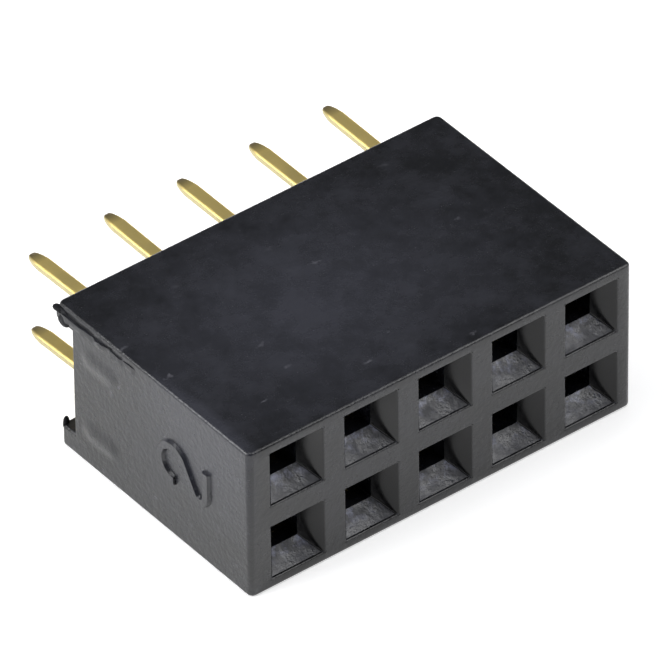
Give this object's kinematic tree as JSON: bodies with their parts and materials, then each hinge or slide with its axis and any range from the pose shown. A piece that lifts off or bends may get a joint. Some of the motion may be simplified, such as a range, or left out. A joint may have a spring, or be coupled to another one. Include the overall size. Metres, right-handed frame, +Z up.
{
  "type": "double-row pin socket",
  "caption": "Black double-row board socket on a 2.54 mm grid, with square lead-in openings for header pins and straight gold-plated solder tails.",
  "frame": {"origin": "middle of the long side that the housing lies on, with the part lying down as it rests on a table", "axes": "+X along the rows, from the numbered end to the plain end; -Y out of the mating face with the socket openings; +Y out of the board side, along the solder tails; +Z up from the side it lies on, across the two rows"},
  "size_m": [0.0134, 0.0119, 0.005],
  "materials": {
    "housing_plastic": "black glass-filled polyester, moulded, with a fine satin spark texture and smoother lead-in faces",
    "contact_gold": "thin gold plating over nickel on a stamped copper-alloy strip, satin, duller at the coined tips"
  },
  "bodies": {
    "root": {"housing": "housing_plastic", "contact_lower_1": "contact_gold", "contact_lower_2": "contact_gold", "contact_lower_3": "contact_gold", "contact_lower_4": "contact_gold", "contact_lower_5": "contact_gold", "contact_upper_1": "contact_gold", "contact_upper_2": "contact_gold", "contact_upper_3": "contact_gold", "contact_upper_4": "contact_gold", "contact_upper_5": "contact_gold"}
  },
  "joints": []
}
